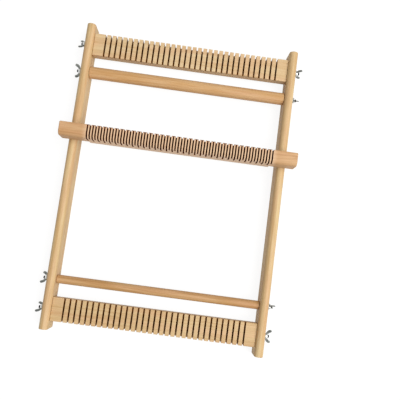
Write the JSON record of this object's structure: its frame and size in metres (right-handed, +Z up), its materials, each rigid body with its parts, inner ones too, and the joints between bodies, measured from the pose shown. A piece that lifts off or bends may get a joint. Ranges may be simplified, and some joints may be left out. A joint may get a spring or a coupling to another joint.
{
  "type": "weaving frame",
  "caption": "Beech weaving frame: slotted comb bars and plain rods clamped between two rails by wing nuts, with a kerfed tipping heddle bar across them.",
  "frame": {"origin": "middle of the frame's footprint, on the surface that it lies on", "axes": "+X to the right across the frame, +Y along the rails towards the warp rod, +Z up out of the frame's front"},
  "size_m": [0.3026, 0.402, 0.0548],
  "materials": {
    "rail_beech": "planed and sanded beech, thin clear oil",
    "comb_beech": "planed pale beech with sawn slots",
    "rod_beech": "turned beech dowel",
    "heddle_beech": "planed beech bar with darkened saw kerfs",
    "zinc_steel": "dull zinc-plated steel"
  },
  "bodies": {
    "root": {"left_rail": "rail_beech", "right_rail": "rail_beech", "top_comb_washer_left": "zinc_steel", "top_comb_washer_right": "zinc_steel", "warp_rod_washer_left": "zinc_steel", "warp_rod_washer_right": "zinc_steel", "cloth_rod_washer_left": "zinc_steel", "cloth_rod_washer_right": "zinc_steel", "bottom_comb_washer_left": "zinc_steel", "bottom_comb_washer_right": "zinc_steel"},
    "top_comb": {"top_comb": "comb_beech", "top_comb_stud_left": "zinc_steel", "top_comb_stud_right": "zinc_steel"},
    "warp_rod": {"warp_rod": "rod_beech", "warp_rod_stud_left": "zinc_steel", "warp_rod_stud_right": "zinc_steel"},
    "cloth_rod": {"cloth_rod": "rod_beech", "cloth_rod_stud_left": "zinc_steel", "cloth_rod_stud_right": "zinc_steel"},
    "bottom_comb": {"bottom_comb": "comb_beech", "bottom_comb_stud_left": "zinc_steel", "bottom_comb_stud_right": "zinc_steel"},
    "heddle_rod": {"heddle_rod": "heddle_beech"},
    "top_comb_wing_nut_left": {"top_comb_wing_nut_left": "zinc_steel"},
    "top_comb_wing_nut_right": {"top_comb_wing_nut_right": "zinc_steel"},
    "warp_rod_wing_nut_left": {"warp_rod_wing_nut_left": "zinc_steel"},
    "warp_rod_wing_nut_right": {"warp_rod_wing_nut_right": "zinc_steel"},
    "cloth_rod_wing_nut_left": {"cloth_rod_wing_nut_left": "zinc_steel"},
    "cloth_rod_wing_nut_right": {"cloth_rod_wing_nut_right": "zinc_steel"},
    "bottom_comb_wing_nut_left": {"bottom_comb_wing_nut_left": "zinc_steel"},
    "bottom_comb_wing_nut_right": {"bottom_comb_wing_nut_right": "zinc_steel"}
  },
  "joints": [
    {"name": "top_comb_turn", "type": "hinge", "parent": "root", "child": "top_comb", "pos_m": [0, 0.175, 0.0168], "axis": [1, 0, 0], "continuous": true},
    {"name": "warp_rod_turn", "type": "hinge", "parent": "root", "child": "warp_rod", "pos_m": [0, 0.1375, 0.0168], "axis": [1, 0, 0], "continuous": true},
    {"name": "cloth_rod_turn", "type": "hinge", "parent": "root", "child": "cloth_rod", "pos_m": [0, -0.1375, 0.0168], "axis": [1, 0, 0], "continuous": true},
    {"name": "bottom_comb_turn", "type": "hinge", "parent": "root", "child": "bottom_comb", "pos_m": [0, -0.175, 0.0168], "axis": [1, 0, 0], "continuous": true},
    {"name": "heddle_tip", "type": "hinge", "parent": "root", "child": "heddle_rod", "pos_m": [0, 0.05795, 0.0305], "axis": [-1, 0, 0], "range_deg": [0, 90]},
    {"name": "top_comb_nut_left_turn", "type": "hinge", "parent": "top_comb", "child": "top_comb_wing_nut_left", "pos_m": [-0.1433, 0.175, 0.0168], "axis": [-1, 0, 0], "continuous": true},
    {"name": "top_comb_nut_right_turn", "type": "hinge", "parent": "top_comb", "child": "top_comb_wing_nut_right", "pos_m": [0.1433, 0.175, 0.0168], "axis": [1, 0, 0], "continuous": true},
    {"name": "warp_rod_nut_left_turn", "type": "hinge", "parent": "warp_rod", "child": "warp_rod_wing_nut_left", "pos_m": [-0.1433, 0.1375, 0.0168], "axis": [-1, 0, 0], "continuous": true},
    {"name": "warp_rod_nut_right_turn", "type": "hinge", "parent": "warp_rod", "child": "warp_rod_wing_nut_right", "pos_m": [0.1433, 0.1375, 0.0168], "axis": [1, 0, 0], "continuous": true},
    {"name": "cloth_rod_nut_left_turn", "type": "hinge", "parent": "cloth_rod", "child": "cloth_rod_wing_nut_left", "pos_m": [-0.1433, -0.1375, 0.0168], "axis": [-1, 0, 0], "continuous": true},
    {"name": "cloth_rod_nut_right_turn", "type": "hinge", "parent": "cloth_rod", "child": "cloth_rod_wing_nut_right", "pos_m": [0.1433, -0.1375, 0.0168], "axis": [1, 0, 0], "continuous": true},
    {"name": "bottom_comb_nut_left_turn", "type": "hinge", "parent": "bottom_comb", "child": "bottom_comb_wing_nut_left", "pos_m": [-0.1433, -0.175, 0.0168], "axis": [-1, 0, 0], "continuous": true},
    {"name": "bottom_comb_nut_right_turn", "type": "hinge", "parent": "bottom_comb", "child": "bottom_comb_wing_nut_right", "pos_m": [0.1433, -0.175, 0.0168], "axis": [1, 0, 0], "continuous": true}
  ]
}
